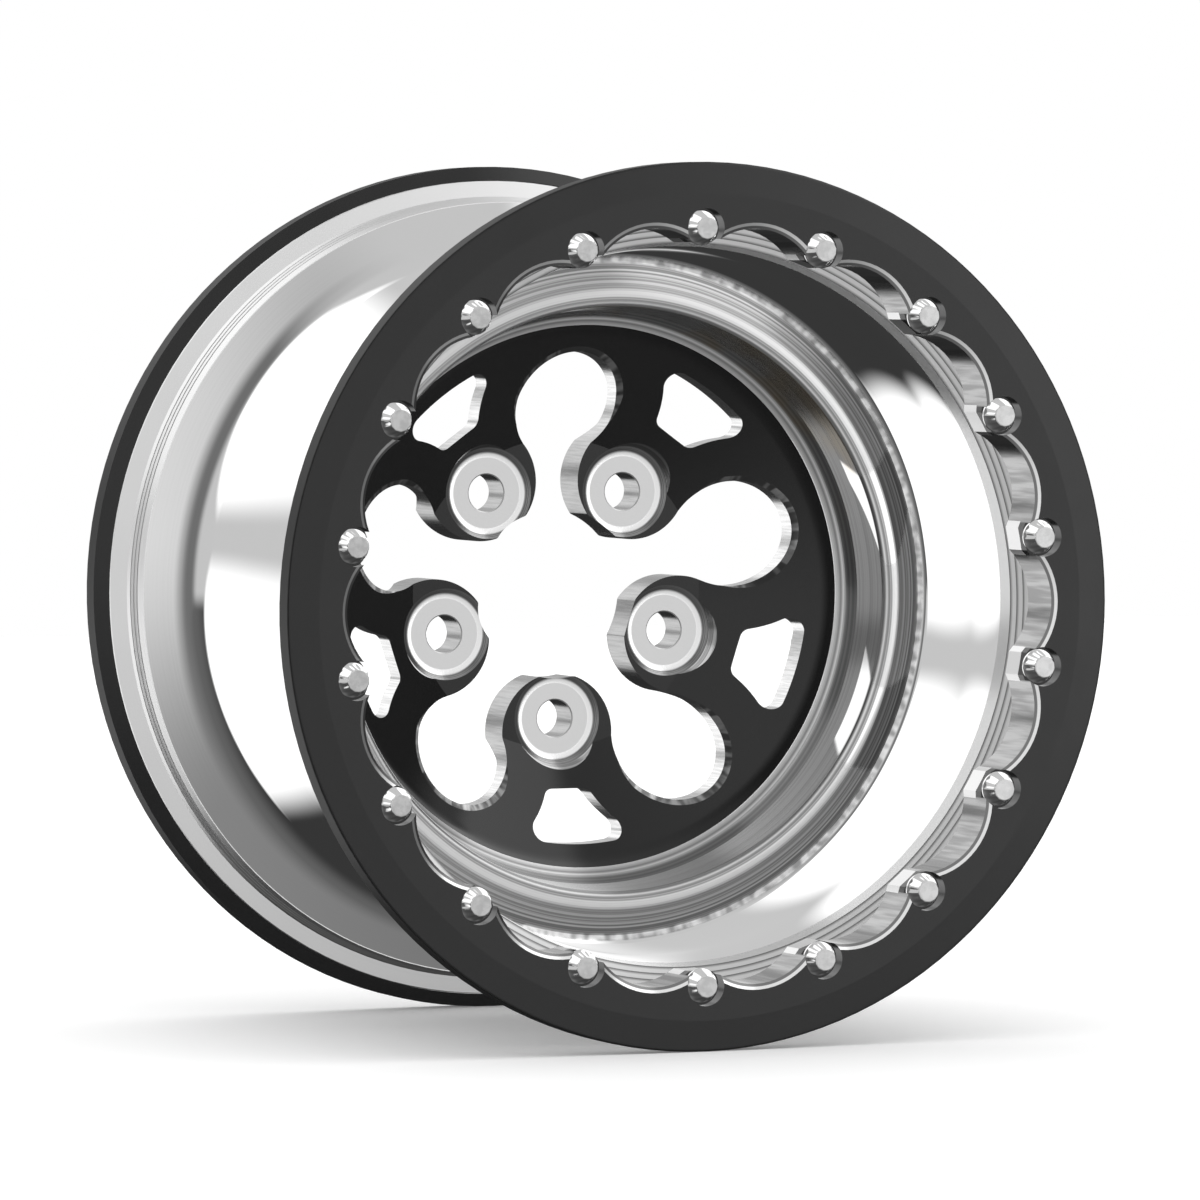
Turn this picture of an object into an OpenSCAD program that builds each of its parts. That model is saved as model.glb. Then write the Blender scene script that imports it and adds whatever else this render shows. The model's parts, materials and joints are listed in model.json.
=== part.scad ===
// Two-piece drag racing wheel with a bolted bead clamp ring on both sides.
// Each piece is drawn with the wheel axis along Z, the outer side up and the hub
// mounting face at zero, and turned at the end so that the outer side faces -Y.

/* [Wheel] */
// Width over the two clamp ring faces
overall_w = 279.4; // [276:0.2:300]
// Hub mounting face to the inner clamp ring face
backspace = 76.2; // [70:0.2:90]

/* [Lug pattern] */
// Diameter of the circle through the five lug holes
lug_pcd = 120.65; // [114.3:0.05:124]
// Diameter of each lug hole
lug_hole_d = 18; // [14:0.1:20]
// Thickness of the centre under each lug nut
lug_seat_t = 19.05; // [16:0.05:20]
// Diameter of the flat floor of each lug recess
recess_floor_d = 34; // [30:0.5:36]
// Diameter of the fillet round the floor of each lug recess
recess_fillet_d = 39.6; // [38:0.2:41]
// Diameter of each lug recess at its mouth
recess_mouth_d = 44.2; // [42:0.2:46]

/* [Centre] */
// Diameter of the hub bore that trims the arm tips
hub_bore_d = 82; // [78:0.5:86]
// Thickness of the centre at the flat of the arms
pad_t = 22.05; // [21:0.05:26]
// Diameter of the hub mounting face
mount_face_d = 152; // [148:1:158]
// Diameter where the flat of the arms turns into the dish
dish_start_d = 149.2; // [144:0.2:154]
// Angle of the dish to the wheel plane
dish_angle = 32.9; // [28:0.1:36]
// Thickness of the dish along the axis
dish_t = 13; // [11:0.5:16]
// Angle of the rise from the mounting face to the back of the dish
back_angle = 60; // [50:1:75]
// Diameter of the centre at its welded edge
centre_d = 266; // [264:0.5:270]
// Rise of the curved edge of the dish over its straight line
edge_rise = 2.4; // [1.5:0.1:3]
// Distance of the round arm heads from the axis
head_pos = 67; // [66:0.5:68]
// Radius of the round arm heads
head_r = 28.5; // [28:0.1:29.5]
// Distance of the round windows from the axis
round_window_pos = 91.3; // [90:0.1:92]
// How far a round window cuts into the arm heads beside it
neck_cut = 0.1; // [0.05:0.05:1]
// Width of the chamfer round the front of the round windows
window_chamfer_w = 2.5; // [1.5:0.1:3]
// Depth of that chamfer along the axis
window_chamfer_h = 3; // [2:0.1:4]
// Distance of the small windows' inner edge from the axis
small_window_in = 93.4; // [91:0.1:95]
// Distance of the small windows' outer edge from the axis
small_window_out = 119.2; // [117:0.1:121]
// Web between a round window and a small window
window_web = 21.3; // [20.5:0.1:22.5]

/* [Barrels] */
// Wall of the spun barrels
shell_t = 4; // [3.5:0.1:5]
// Diameter inside the outer barrel behind its lip
mouth_d = 334.4; // [333:0.2:336]
// Diameter inside the outer barrel at its foot
foot_d = 328.4; // [327:0.2:330]
// Diameter outside the inner barrel along its straight part
well_d = 326; // [325:0.2:327]
// Depth of the sleeve from its nose to the edge of the dish
sleeve_depth = 37.15; // [34:0.05:40]
// Angle of the flank that rises to each bead ring
flank_angle = 54; // [50:0.5:58]
// Radius at the foot of each flank
flank_r = 28; // [20:1:30]

/* [Bead rings] */
// Outer diameter of the clamp rings
ring_d = 412.6; // [411:0.2:416]
// Thickness of a clamp ring
ring_t = 12.7; // [12:0.1:13.5]
// Bore of the rings between the scallops
ring_bore_d = 338.4; // [337.8:0.2:339]
// Radius of the scallops between the bolts
scallop_r = 33.6; // [32:0.1:34]
// Distance of the scallops' centres from the axis
scallop_pos = 144.06; // [143:0.02:145]
// Width of the bevel along the scallops
scallop_bevel_w = 2.66; // [1.5:0.02:3]
// Depth of the bevel along the scallops
scallop_bevel_h = 1.3; // [0.8:0.1:2]
// Diameter of the flat of a clamp ring's face
ring_flat_d = 383.4; // [380:0.2:390]
// Depth of the shallow bevel outside that flat
face_bevel = 1.4; // [1:0.1:2]
// Radius of a clamp ring's outer edge
ring_edge_r = 1.5; // [1:0.1:2]
// How far the clamp ring's nose hooks over the fixed ring
nose_h = 4.5; // [3.5:0.1:5]
// Thickness of a fixed ring from the joint to the barrel flange
fixed_t = 13.5; // [12.5:0.1:15]
// Outer diameter of a fixed ring
fixed_d = 398.6; // [397:0.2:400]
// Diameter of the bead seat at its flange
seat_d = 383.3; // [382:0.1:385]
// Fall of the bead seat's radius over its length
seat_fall = 2.6; // [2:0.1:3]
// Length from the barrel flange to the end of the bead seat
skirt_l = 8.85; // [7:0.05:10]
// Outer diameter of the barrel flanges inside the fixed rings
barrel_flange_d = 370.6; // [370:0.1:371.4]

/* [Ring bolts] */
// Number of bolts in each ring
bolt_count = 18; // [18:1:18]
// Diameter of the circle through the ring bolts
bolt_pcd = 351.5; // [350:0.1:352.4]
// Thread diameter of a ring bolt
bolt_d = 7.94; // [7:0.02:8.4]
// Length of a ring bolt under its head
bolt_l = 18; // [15:0.5:19]
// Diameter of a bolt head's flange
bolt_flange_d = 16; // [15:0.1:16.8]
// Depth of the spot face under a bolt head
spot_depth = 7; // [6:0.1:8]
// How far a bolt head stands out of the ring's face
bolt_proud = 1.63; // [1:0.01:2.5]

/* [Hidden] */
$fn = 96;
arms = 5;
cut = 1;
lip_t = 0.7;
fit = 0.1;
spot_gap = 1.2;

outer_face = overall_w - backspace;
arm_step = 360 / arms;
bolt_step = 360 / bolt_count;

// Dish
dish_start = dish_start_d / 2;
centre_r = centre_d / 2;
dish_slope = tan(dish_angle);
edge_in = 3.2;
edge_land = centre_r - edge_in;
edge_z = dish_z(edge_land) + edge_rise;
edge_curve_w = 8.8;
edge_curve_mid = 0.6;
edge_curve_turn = 52;
edge_curve_r = 16;
back_fillet = 10;

// Windows
head_corner_r = 3;
neck_r = 14;
window_corner_in = 5;
window_corner_out = 6;
head_c = [head_pos, 0];
window_c = polar(round_window_pos, arm_step / 2);
round_window_r = norm(window_c - head_c) - head_r + neck_cut;
waist_r = round_window_r + window_web;
chamfer_reach = 112;
chamfer_fade = 30;
chamfer_steps = 40;

// Rings, with depths measured from the ring's face towards the middle of the wheel
ring_r = ring_d / 2;
bore_r = ring_bore_d / 2;
fixed_r = fixed_d / 2;
seat_r = seat_d / 2;
joint_u = ring_t;
flange_u = joint_u + fixed_t;
skirt_u = flange_u + skirt_l;
hook_l = 6.5;
seat_u = joint_u + hook_l;
seat_end_r = seat_r - seat_fall;
groove_w = 1.6;
groove_h = 0.35;
nose_gap = 0.5;
nose_r = fixed_r + nose_gap;
register_r = barrel_flange_d / 2;
spot_r = bolt_flange_d / 2 + spot_gap;

// Barrels
mouth_r = mouth_d / 2;
foot_r = foot_d / 2;
well_r = well_d / 2;
lip_w = 1.45;
lip_r = mouth_r + lip_w;
step_w = 0.46;
step_r = seat_end_r - step_w;
nose_z = edge_z + sleeve_depth;
nose_in = centre_r + 6;
nose_out = centre_r + 13.6;
nose_fall = 3.5;
nose_in_r = 3;
nose_out_r = 12;
foot_z = nose_z - nose_fall;
foot_fillet = 4;
foot_drop = 1.2;
split_fall = 12.5;
split_z = nose_z - split_fall;
sleeve_wall = 9;
sleeve_r = centre_r + sleeve_wall;
cove_foot = [0.8, 3.65];
cove_top = [3.9, 10.35];
kink_z = 35.85;
cone_angle = 2.75;
cone_end_z = -23.8;

function dir(a) = [cos(a), sin(a)];
function polar(r, a) = r * dir(a);

function heading(v) = atan2(v[1], v[0]);

// Shorter way round from the angle a0 to a1
function turn(a0, a1) = (a1 - a0 + 540) % 360 - 180;

// Points of an arc about c from the angle a0 to a1
function arc(c, r, a0, a1, n) = [for (i = [0:n]) c + r * dir(a0 + (a1 - a0) * i / n)];

// Front of the dish at radius r, before its curved edge
function dish_z(r) = pad_t + (r - dish_start) * dish_slope;

// Corner p of an outline, rounded to radius r between the headings a0 and a1
function bend(p, a0, a1, r, n = 6) =
    let (turn = a1 - a0, s = sign(turn), t = r * tan(abs(turn) / 2),
         c = p - t * dir(a0) + s * r * dir(a0 + 90))
    [for (i = [0:n]) c + r * dir(a0 - s * 90 + turn * i / n)];

// Corner p moved sideways by t when both of its edges move sideways by t
function inset(p, a0, a1, t) = p + t / cos((a1 - a0) / 2) * dir((a0 + a1) / 2 + 90);

// Point at the distances r1 and r2 from the centres c1 and c2, left of the line between them
function meet(c1, r1, c2, r2) =
    let (d = norm(c2 - c1), x = (r1 * r1 - r2 * r2 + d * d) / (2 * d),
         u = (c2 - c1) / d)
    c1 + x * u + sqrt(r1 * r1 - x * x) * [-u[1], u[0]];

// Where the line through p at heading a crosses the radius x
function at_radius(p, a, x) = [x, p[1] + (x - p[0]) * tan(a)];

module in_car() {
    rotate([90, 0, 0]) children();
}

module outer_side() {
    translate([0, 0, outer_face]) mirror([0, 0, 1]) children();
}

module inner_side() {
    translate([0, 0, -backspace]) children();
}

module around(count, first = 0) {
    for (i = [0:count - 1]) rotate(first + i * 360 / count) children();
}

module turned(outline) {
    rotate_extrude($fn = 180) polygon(outline);
}

// Eased corner where an opening circle (c2, r2) trims a round head (c1, r1)
module eased(c1, r1, c2, r2, r) {
    c = meet(c2, r2 + r, c1, r1 - r);
    start = heading(c - c1);
    curve = arc(c, r, start, start + turn(start, heading(c2 - c)), 6);
    last = len(curve) - 1;
    beyond = c1 + (r1 + r) * dir(start);
    polygon(concat([beyond, curve[0] + 0.5 * (curve[0] - curve[1])],
                   [for (i = [1:last - 1]) curve[i]],
                   [curve[last] + 0.5 * (curve[last] - curve[last - 1]), c2]));
}

// Open middle of the centre: hub bore, gaps between the arm heads and round windows
module open_middle() {
    gap_r = head_pos + 4;
    difference() {
        circle(gap_r);
        around(arms) translate(head_c) circle(head_r);
        around(arms) translate([head_pos, -head_r / 2]) square([head_r, head_r]);
    }
    circle(hub_bore_d / 2);
    around(arms) translate(window_c) circle(round_window_r);
    around(arms) for (side = [0, 1]) mirror([0, side]) {
        mirror([0, 1]) eased(head_c, head_r, [window_c[0], -window_c[1]], round_window_r, neck_r);
        eased(head_c, head_r, [0, 0], hub_bore_d / 2, head_corner_r);
    }
}

// Chamfer round the front of a round window that follows the dish and fades towards the arms
module window_chamfer() {
    over = 0.6;
    slope = window_chamfer_w / window_chamfer_h;
    centre = [round_window_pos, 0];
    rings = [for (i = [0:chamfer_steps])
        let (a = chamfer_reach * (2 * i / chamfer_steps - 1),
             w = window_chamfer_w * min(1, (chamfer_reach - abs(a)) / chamfer_fade) + 0.01,
             inner = centre + (round_window_r - over) * dir(a),
             front = centre + (round_window_r + w) * dir(a),
             outer = centre + (round_window_r + w + over) * dir(a),
             z = dish_z(norm(front)))
        [[inner[0], inner[1], z - (w + over) / slope], [outer[0], outer[1], z + over / slope],
         [inner[0], inner[1], z + over / slope]]];
    polyhedron(
        points = [for (ring = rings) each ring],
        faces = concat(
            [[0, 2, 1], [3 * chamfer_steps, 3 * chamfer_steps + 1, 3 * chamfer_steps + 2]],
            [for (i = [0:chamfer_steps - 1], k = [0:2])
                let (p = 3 * i + k, q = 3 * i + (k + 1) % 3) each [[p, q, p + 3], [q, q + 3, p + 3]]]));
}

// Small window on an arm: flat inner edge, waisted sides and an arched outer edge
module small_window() {
    in_r = window_corner_in;
    out_r = window_corner_out;
    in_x = small_window_in + in_r;
    in_c = [in_x, window_c[1] - sqrt(pow(waist_r + in_r, 2) - pow(in_x - window_c[0], 2))];
    out_c = meet(window_c, waist_r + out_r, [0, 0], small_window_out - out_r);
    half = concat(
        arc(in_c, in_r, 180, heading(window_c - in_c), 4),
        arc(window_c, waist_r, heading(in_c - window_c), heading(out_c - window_c), 5),
        arc(out_c, out_r, heading(window_c - out_c), heading(out_c), 7),
        arc([0, 0], small_window_out, heading(out_c), 0, 4));
    polygon(concat(half, [for (i = [len(half) - 2:-1:0]) [half[i][0], -half[i][1]]]));
}

// The centre seen along its axis
module centre_plan() {
    difference() {
        circle(centre_r + cut);
        rotate(-90) open_middle();
        around(arms, -90) small_window();
    }
}

// Lug hole with its machined recess
module lug_cut() {
    floor_r = recess_floor_d / 2;
    fillet_r = recess_fillet_d / 2;
    mouth = recess_mouth_d / 2;
    fillet_h = 0.85;
    beyond = 8;
    wall_slope = (pad_t - lug_seat_t - fillet_h) / (mouth - fillet_r);
    translate([0, 0, -cut]) cylinder(d = lug_hole_d, h = pad_t + 2 * cut);
    turned([[0, lug_seat_t], [floor_r, lug_seat_t], [fillet_r, lug_seat_t + fillet_h],
            [mouth + beyond, pad_t + beyond * wall_slope], [0, pad_t + beyond * wall_slope]]);
}

module wheel_centre() {
    curve_r = edge_land - edge_curve_w * (1 - edge_curve_mid);
    mount_r = mount_face_d / 2;
    back_x = (dish_z(mount_r) - dish_t) / (tan(back_angle) - dish_slope);
    back_corner = [mount_r + back_x, back_x * tan(back_angle)];
    color([0.08, 0.08, 0.09]) in_car() difference() {
        intersection() {
            turned(concat(
                [[0, 0], [mount_r, 0]],
                bend(back_corner, back_angle, dish_angle, back_fillet),
                [[centre_r, dish_z(centre_r) - dish_t], [centre_r, edge_z], [edge_land, edge_z]],
                bend([curve_r, dish_z(curve_r)], 180 + edge_curve_turn, 180 + dish_angle,
                     edge_curve_r),
                [[dish_start, pad_t], [0, pad_t]]));
            translate([0, 0, -cut]) linear_extrude(edge_z + 2 * cut) centre_plan();
        }
        around(arms, -90) translate([lug_pcd / 2, 0, 0]) lug_cut();
        around(arms, arm_step / 2 - 90) window_chamfer();
    }
}

// Outline of a barrel's flange and flank from the ring's register down to the barrel, whose
// outside radius is r where the flank would meet it, with the barrel leaning by lean
function flank(r, lean) =
    concat([[register_r, flange_u], [register_r, skirt_u], [step_r, skirt_u]],
           bend([r, skirt_u + (step_r - r) / tan(flank_angle)],
                90 + flank_angle, 90 + lean, flank_r));

module outer_rim_half() {
    lip_step = [3, 0.7];
    lip_l = 10;
    barrel_lean = 1;
    color([0.82, 0.83, 0.85]) in_car() outer_side() turned(concat(
        [for (i = [0:2]) [lip_r + i * lip_step[0], flange_u + (2 - i) * lip_step[1]]],
        flank(mouth_r + shell_t, barrel_lean),
        [for (p = outer_foot()) [p[0], outer_face - p[1]]],
        [[mouth_r, flange_u + lip_l]]));
}

// Foot of the outer barrel with the nose and the sleeve over the centre's edge
function outer_foot() =
    let (edge = [centre_r, edge_z], nose_a = [nose_in, nose_z], nose_b = [nose_out, nose_z],
         fillet = arc([foot_r - foot_fillet, foot_z], foot_fillet, -90, 0, 5),
         rise = heading(nose_a - edge - cove_top), fall = heading(fillet[0] - nose_b))
    concat(
        [[foot_r + shell_t, foot_z + foot_drop], [well_r, split_z], [well_r - shell_t, split_z],
         [sleeve_r, nose_z - shell_t], [sleeve_r, dish_z(centre_r) - dish_t],
         [centre_r, dish_z(centre_r) - dish_t], edge, [edge_land, edge_z],
         [edge_land, edge_z + lip_t], edge + cove_foot, edge + cove_top],
        bend(nose_a, rise, 0, nose_in_r), bend(nose_b, 0, fall, nose_out_r), fillet);

module inner_rim_half() {
    cone_r = well_r + tan(cone_angle) * (kink_z - cone_end_z);
    foot = [cone_r, skirt_u + (step_r - cone_r) / tan(flank_angle)];
    inside = inset(foot, 90 + flank_angle, 90 + cone_angle, shell_t);
    color([0.82, 0.83, 0.85]) in_car() inner_side() turned(concat(
        [[lip_r, flange_u]],
        flank(cone_r, cone_angle),
        [[well_r, kink_z + backspace], [well_r, split_z + backspace],
         [well_r - shell_t, split_z + backspace], [well_r - shell_t, kink_z + backspace]],
        bend(inside, -90 + cone_angle, -90 + flank_angle, flank_r + shell_t),
        [at_radius(inside, flank_angle - 90, lip_r)]));
}

// A ring seen along its axis, with the scallops between its bolts
module ring_plan() {
    difference() {
        circle(ring_r + cut);
        circle(bore_r);
        around(bolt_count) translate([scallop_pos, 0]) circle(scallop_r);
    }
}

// Cone that bevels a bore of radius r at the ring's face
module bevel(r) {
    translate([0, 0, -cut])
        cylinder(r1 = r + scallop_bevel_w * (1 + cut / scallop_bevel_h),
                 r2 = r - scallop_bevel_w, h = 2 * scallop_bevel_h + cut);
}

module bolt_places() {
    around(bolt_count, bolt_step / 2) translate([bolt_pcd / 2, 0, 0]) children();
}

module clamp_ring() {
    edge_drop = face_bevel + ring_edge_r;
    difference() {
        difference() {
            intersection() {
                turned(concat(
                    [[scallop_pos, 0], [ring_flat_d / 2, 0]],
                    [for (i = [0:4]) [ring_r - ring_edge_r, edge_drop]
                        + ring_edge_r * dir(-90 + 90 * i / 4)],
                    [[ring_r, joint_u], [nose_r, joint_u + nose_h], [nose_r, joint_u],
                     [scallop_pos, joint_u]]));
                translate([0, 0, -cut]) linear_extrude(joint_u + nose_h + 2 * cut) ring_plan();
            }
            bolt_places() {
                translate([0, 0, -cut]) cylinder(r = spot_r, h = spot_depth + cut);
                cylinder(d = bolt_d + 2 * fit, h = joint_u + cut);
            }
        }
        bevel(bore_r);
        around(bolt_count) intersection() {
            translate([scallop_pos, 0, 0]) bevel(scallop_r);
            translate([bore_r - scallop_bevel_w, -scallop_r, -2 * cut])
                cube([2 * scallop_r, 2 * scallop_r, joint_u]);
        }
    }
}

module fixed_ring() {
    seat_l = skirt_u - seat_u;
    grooves = [for (g = [1:3]) each
        [for (p = [[0, 0], [0.25, 1], [0.75, 1], [1, 0]])
            [seat_r - seat_fall * g / 5 - groove_h * p[1],
             seat_u + seat_l * g / 5 + groove_w * p[0]]]];
    difference() {
        intersection() {
            turned(concat(
                [[scallop_pos, joint_u], [fixed_r, joint_u], [fixed_r, joint_u + nose_h - fit],
                 [seat_r, seat_u]],
                grooves,
                [[seat_end_r, skirt_u], [register_r + fit, skirt_u], [register_r + fit, flange_u],
                 [scallop_pos, flange_u]]));
            translate([0, 0, joint_u - cut]) linear_extrude(skirt_u - joint_u + 2 * cut) ring_plan();
        }
        bolt_places() translate([0, 0, joint_u - cut])
            cylinder(d = bolt_d + 2 * fit, h = fixed_t + 2 * cut);
    }
}

// Twelve-point flange bolt on the spot face
module ring_bolt() {
    flange_h = 1.8;
    flange_land = 0.4;
    head_base_r = bolt_flange_d / 2 - flange_land;
    head_top_r = 5.3;
    top = -bolt_proud;
    translate([0, 0, spot_depth - flange_h]) cylinder(d = bolt_flange_d, h = flange_h);
    for (a = [0, 30]) rotate(a) translate([0, 0, top])
        cylinder(r1 = head_top_r, r2 = head_base_r, h = spot_depth - flange_h - top, $fn = 6);
    translate([0, 0, spot_depth - flange_h]) cylinder(d = bolt_d, h = bolt_l + flange_h);
}

module outer_fixed_ring() {
    color([0.75, 0.76, 0.78]) in_car() outer_side() fixed_ring();
}

module outer_clamp_ring() {
    color([0.1, 0.1, 0.11]) in_car() outer_side() clamp_ring();
}

module outer_ring_bolts() {
    color([0.9, 0.9, 0.92]) in_car() outer_side() bolt_places() ring_bolt();
}

module inner_fixed_ring() {
    color([0.75, 0.76, 0.78]) in_car() inner_side() fixed_ring();
}

module inner_clamp_ring() {
    color([0.1, 0.1, 0.11]) in_car() inner_side() clamp_ring();
}

module inner_ring_bolts() {
    color([0.9, 0.9, 0.92]) in_car() inner_side() bolt_places() ring_bolt();
}

wheel_centre();
outer_rim_half();
inner_rim_half();
outer_fixed_ring();
outer_clamp_ring();
outer_ring_bolts();
inner_fixed_ring();
inner_clamp_ring();
inner_ring_bolts();
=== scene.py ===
import json
import math

import bmesh
import bpy
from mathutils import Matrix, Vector

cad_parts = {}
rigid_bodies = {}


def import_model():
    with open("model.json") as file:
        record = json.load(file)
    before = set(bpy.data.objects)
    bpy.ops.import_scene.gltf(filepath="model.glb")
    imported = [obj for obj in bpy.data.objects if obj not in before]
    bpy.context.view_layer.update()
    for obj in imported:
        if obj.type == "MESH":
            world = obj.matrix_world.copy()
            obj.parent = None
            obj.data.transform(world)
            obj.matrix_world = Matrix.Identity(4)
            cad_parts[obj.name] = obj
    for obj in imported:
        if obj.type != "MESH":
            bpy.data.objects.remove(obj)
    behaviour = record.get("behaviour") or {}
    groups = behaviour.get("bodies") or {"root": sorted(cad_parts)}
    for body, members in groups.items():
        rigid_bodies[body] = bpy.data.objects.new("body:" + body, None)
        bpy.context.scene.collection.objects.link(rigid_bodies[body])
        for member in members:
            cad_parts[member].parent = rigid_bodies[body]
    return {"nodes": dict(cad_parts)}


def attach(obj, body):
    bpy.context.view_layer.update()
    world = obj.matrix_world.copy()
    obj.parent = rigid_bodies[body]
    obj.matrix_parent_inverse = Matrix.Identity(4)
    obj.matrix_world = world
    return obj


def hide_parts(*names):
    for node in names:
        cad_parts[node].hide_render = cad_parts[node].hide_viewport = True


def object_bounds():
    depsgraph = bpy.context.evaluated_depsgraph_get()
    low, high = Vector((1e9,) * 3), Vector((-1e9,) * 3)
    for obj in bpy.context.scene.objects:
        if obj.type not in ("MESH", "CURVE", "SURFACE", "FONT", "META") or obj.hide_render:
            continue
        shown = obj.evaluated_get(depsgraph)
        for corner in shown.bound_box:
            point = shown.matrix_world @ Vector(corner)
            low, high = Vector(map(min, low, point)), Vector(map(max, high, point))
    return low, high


MM = 0.001

# Sizes of the wheel in millimetres. Profiles are pairs of a radius and a place along the
# axis, measured from the hub face towards the outer side.
OUTER_FACE = 203.2
INNER_FACE = -76.2
RING_T = 12.7
FIXED_T = 13.5
FLANGE_U = RING_T + FIXED_T
SKIRT_U = FLANGE_U + 8.85
SHELL_T = 4.0
MOUTH_R = 167.2
FOOT_R = 164.2
WELL_R = 163.0
CENTRE_R = 133.0
SEAT_END_R = 189.05
FLANGE_R = 185.3
LIP_R = MOUTH_R + 1.45
STEP_R = SEAT_END_R - 0.46
FLANK_ANGLE = 54.0
FLANK_R = 28.0
CONE_ANGLE = 2.75
KINK_Z = 35.85
EDGE_Z = 60.2085
EDGE_LAND = 129.8
NOSE_Z = EDGE_Z + 37.15
FOOT_Z = NOSE_Z - 3.5
SPLIT_Z = NOSE_Z - 12.5
DISH_REAR = 46.83
DISH_ANGLE = 32.9
DISH_START = 74.6
DISH_END = 123.5
PAD_T = 22.05
DISH_SLOPE = math.tan(math.radians(DISH_ANGLE))
DISH_T = 13.0
LIP_STEP_W = 3.0
LIP_STEP_H = 0.7
NOSE_IN_R = CENTRE_R + 6
NOSE_OUT_R = CENTRE_R + 13.6
MOUTH_DEPTH = 10.0
ROLL_Z = 140.0
LATHE_STEPS = 320

# Five-arm centre. Angles run round the axis, in degrees.
ARMS = 5
ARM_TURN = 360 / ARMS
FIRST_ARM = -90.0
FIRST_WINDOW = FIRST_ARM + ARM_TURN / 2
LUG_AT = 60.325
LUG_HOLE_R = 9.0
SEAT_Z = 19.05
BORE_R = 41.0
TIP_R = 3.0
HEAD = (67.0, 0.0)
HEAD_R = 28.5
WINDOW_AT = 91.3
WINDOW = (WINDOW_AT * math.cos(math.radians(ARM_TURN / 2)),
          WINDOW_AT * math.sin(math.radians(ARM_TURN / 2)))
WINDOW_R = math.dist(WINDOW, HEAD) - HEAD_R
WINDOW_WEB = 21.4
CHAMFER_W = 2.5
CHAMFER_H = 3.0
CHAMFER_REACH = 112.0
CHAMFER_FADE = 30.0

# Bolts and scallops of the rings
BOLTS = 18
BOLT_TURN = 360 / BOLTS
FIRST_BOLT = 10.0
BOLT_AT = 175.75
SPOT_DEPTH = 7.0
SCALLOP_AT = 144.06
SCALLOP_R = 33.6

# A face is a wall when the part of its normal along the axis is under this
WALL_FACING = 0.4

# Camera found from the circles of the photograph
LENS = 260.5
AZIMUTH = -22.737
ELEVATION = 2.305
DISTANCE = 4.1987
TARGET = (0.02381, -0.01905, -0.00359)


def heading(a):
    """Unit vector at an angle in degrees."""
    return Vector((math.cos(math.radians(a)), math.sin(math.radians(a))))


def bend(p, a0, a1, r, n=14):
    """Corner p of an outline, rounded to radius r between the headings a0 and a1."""
    turn = a1 - a0
    side = math.copysign(1, turn)
    back = r * math.tan(math.radians(abs(turn)) / 2)
    c = Vector(p) - back * heading(a0) + side * r * heading(a0 + 90)
    return [tuple(c + r * heading(a0 - side * 90 + turn * i / n)) for i in range(n + 1)]


def moved_in(p, a0, a1, t):
    """Corner p moved sideways by t when both of its edges move sideways by t."""
    far = t / math.cos(math.radians(a1 - a0) / 2)
    return tuple(Vector(p) + far * heading((a0 + a1) / 2 + 90))


def link(obj):
    """The object, put in the scene."""
    bpy.context.scene.collection.objects.link(obj)
    return obj


def made(name, bm):
    """Object with the mesh of a bmesh, which is then freed."""
    mesh = bpy.data.meshes.new(name)
    bm.to_mesh(mesh)
    bm.free()
    return link(bpy.data.objects.new(name, mesh))


def strip(bm, a, b):
    """Faces between two closed loops of the same number of vertices."""
    for i in range(len(a)):
        j = (i + 1) % len(a)
        bm.faces.new((a[i], a[j], b[j], b[i]))


def tube(bm, loops):
    """Faces between loops in turn, closed at both ends."""
    for a, b in zip(loops, loops[1:]):
        strip(bm, a, b)
    bm.faces.new(loops[0])
    bm.faces.new(loops[-1])


def mark_sharp(bm, angle):
    """Smooth edges only where two faces meet at less than an angle in degrees."""
    for e in bm.edges:
        e.smooth = len(e.link_faces) == 2 and e.calc_face_angle(0) < math.radians(angle)


def lathe(name, outline, sharp=14, steps=LATHE_STEPS):
    """Closed ring turned from (radius, place) pairs in millimetres, outer side at -Y."""
    bm = bmesh.new()
    n = len(outline)
    rings = []
    for k in range(steps):
        a = 2 * math.pi * k / steps
        rings.append([bm.verts.new((r * MM * math.cos(a), -z * MM, r * MM * math.sin(a)))
                      for r, z in outline])
    for k in range(steps):
        strip(bm, rings[k], rings[(k + 1) % steps])
    bmesh.ops.recalc_face_normals(bm, faces=bm.faces)
    corner = []
    for i in range(n):
        a = Vector(outline[i]) - Vector(outline[i - 1])
        b = Vector(outline[(i + 1) % n]) - Vector(outline[i])
        corner.append(math.degrees(a.angle(b)) > sharp)
    bm.edges.ensure_lookup_table()
    bm.verts.index_update()
    for e in bm.edges:
        i, j = (v.index % n for v in e.verts)
        e.smooth = not (i == j and corner[i])
    for f in bm.faces:
        f.smooth = True
    return made(name, bm)


def arc(c, r, a0, a1, n):
    """Points of an arc about c, in n steps from one angle to another."""
    return [(c[0] + r * math.cos(math.radians(a0 + (a1 - a0) * i / n)),
             c[1] + r * math.sin(math.radians(a0 + (a1 - a0) * i / n))) for i in range(n + 1)]


def aim(a, b):
    """Direction from one point to another, in degrees."""
    return math.degrees(math.atan2(b[1] - a[1], b[0] - a[0]))


def meet(c1, r1, c2, r2):
    """Point at two distances from two centres, left of the line between them."""
    d = math.dist(c1, c2)
    x = (r1 * r1 - r2 * r2 + d * d) / (2 * d)
    h = math.sqrt(r1 * r1 - x * x)
    ux, uy = (c2[0] - c1[0]) / d, (c2[1] - c1[1]) / d
    return (c1[0] + x * ux - h * uy, c1[1] + x * uy + h * ux)


def turned_by(points, a):
    """Points turned round the axis by an angle in degrees."""
    c, k = math.cos(math.radians(a)), math.sin(math.radians(a))
    return [(x * c - y * k, x * k + y * c) for x, y in points]


def mirrored(points):
    """Points on the other side of the arm's middle line, in the opposite order."""
    return [(x, -y) for x, y in reversed(points)]


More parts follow.
